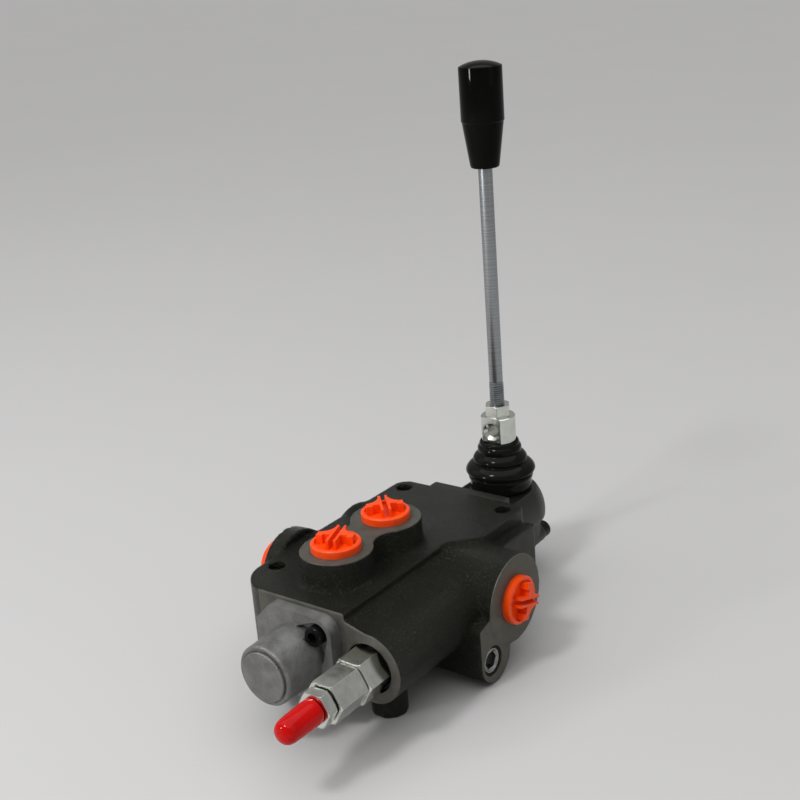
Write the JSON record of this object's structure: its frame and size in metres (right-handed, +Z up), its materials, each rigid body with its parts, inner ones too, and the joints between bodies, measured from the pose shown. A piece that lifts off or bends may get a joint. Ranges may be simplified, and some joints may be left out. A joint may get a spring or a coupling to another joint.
{
  "type": "hydraulic directional control valve",
  "caption": "Hand-lever hydraulic spool valve: a cast body steers pressure oil to two work ports, with spring return and an adjustable relief valve.",
  "frame": {"origin": "centre of the four-hole mounting pattern, on the plane of the feet", "axes": "+X towards the pressure port's face, +Y along the spool towards the lever, +Z up"},
  "size_m": [0.131, 0.2638, 0.29],
  "materials": {
    "casting": "satin charcoal black, sand-cast grain, machined faces slightly lighter",
    "aluminium_cast": "raw die-cast, fine grain",
    "black_oxide": "black oxide",
    "zinc_green": "zinc plated, turned",
    "zinc_blue": "bright bluish zinc plate",
    "ground_steel": "ground and polished",
    "spring_steel": "dark spring steel",
    "seal_rubber": "matt black",
    "red_vinyl": "glossy red",
    "housing_paint": "dark satin paint on a die-casting",
    "seat_plastic": "off-white bearing plastic",
    "boot_rubber": "glossy black",
    "knob_plastic": "glossy black",
    "brass": "turned",
    "orange_plastic": "vivid orange moulding"
  },
  "bodies": {
    "valve_body": {"body_casting": "casting", "spool_seal_front": "seal_rubber", "spool_seal_rear": "seal_rubber", "spring_cap": "aluminium_cast", "cap_screws": "black_oxide", "spring_cup_rear": "zinc_green", "spring_cup_front": "zinc_green", "centring_spring": "spring_steel", "relief_body": "zinc_green", "relief_sleeve": "zinc_green", "relief_lock_nut": "zinc_green", "relief_spring_seat": "zinc_green", "relief_spring": "spring_steel", "relief_seal": "seal_rubber", "gallery_plug": "zinc_blue", "check_spring": "spring_steel", "lever_housing": "housing_paint", "housing_screws": "black_oxide", "ball_seat": "seat_plastic", "pivot_pin": "ground_steel", "seat_ring": "spring_steel", "boot": "boot_rubber"},
    "spool": {"spool": "ground_steel", "centring_bolt": "black_oxide"},
    "lever": {"lever_hub": "zinc_green", "jam_nut": "zinc_green", "lever_rod": "zinc_blue", "knob": "knob_plastic", "knob_insert": "brass"},
    "relief_adjuster": {"adjusting_screw": "zinc_blue"},
    "relief_poppet": {"relief_poppet": "ground_steel"},
    "check_poppet": {"check_poppet": "ground_steel"},
    "dust_cap": {"dust_cap": "red_vinyl"},
    "plug_a": {"plug_a": "orange_plastic"},
    "plug_b": {"plug_b": "orange_plastic"},
    "plug_p": {"plug_p": "orange_plastic"},
    "plug_t": {"plug_t": "orange_plastic"}
  },
  "joints": [
    {"name": "lever_swing", "type": "hinge", "parent": "valve_body", "child": "lever", "pos_m": [0.0025, 0.1, 0.057], "axis": [1, 0, 0], "range_deg": [-18.6, 18.6], "stiffness_Nm_per_rad": 6, "deforming": ["boot"]},
    {"name": "spool_travel", "type": "slide", "parent": "valve_body", "child": "spool", "axis": [0, 1, 0], "range_m": [-0.0065, 0.0065], "deforming": ["centring_spring", "spring_cup_front", "spring_cup_rear"]},
    {"name": "relief_poppet_lift", "type": "slide", "parent": "valve_body", "child": "relief_poppet", "axis": [0, -1, 0], "range_m": [0, 0.002], "stiffness_N_per_m": 5000, "deforming": ["relief_spring"]},
    {"name": "check_poppet_lift", "type": "slide", "parent": "valve_body", "child": "check_poppet", "axis": [1, 0, 0], "range_m": [0, 0.004], "stiffness_N_per_m": 1000, "deforming": ["check_spring"]},
    {"name": "relief_adjust", "type": "hinge", "parent": "valve_body", "child": "relief_adjuster", "pos_m": [0.0408, -0.1, 0.037], "axis": [0, -1, 0], "range_deg": [-180, 180]},
    {"name": "dust_cap_pull", "type": "slide", "parent": "relief_adjuster", "child": "dust_cap", "axis": [0, -1, 0], "range_m": [0, 0.03]},
    {"name": "plug_a_pull", "type": "slide", "parent": "valve_body", "child": "plug_a", "axis": [0, 0, 1], "range_m": [0, 0.03]},
    {"name": "plug_b_pull", "type": "slide", "parent": "valve_body", "child": "plug_b", "axis": [0, 0, 1], "range_m": [0, 0.03]},
    {"name": "plug_p_pull", "type": "slide", "parent": "valve_body", "child": "plug_p", "axis": [1, 0, 0], "range_m": [0, 0.03]},
    {"name": "plug_t_pull", "type": "slide", "parent": "valve_body", "child": "plug_t", "axis": [-1, 0, 0], "range_m": [0, 0.03]}
  ],
  "couplings": [
    {"joint": "spool_travel", "follows": "lever_swing", "m_per_rad": 0.02}
  ]
}
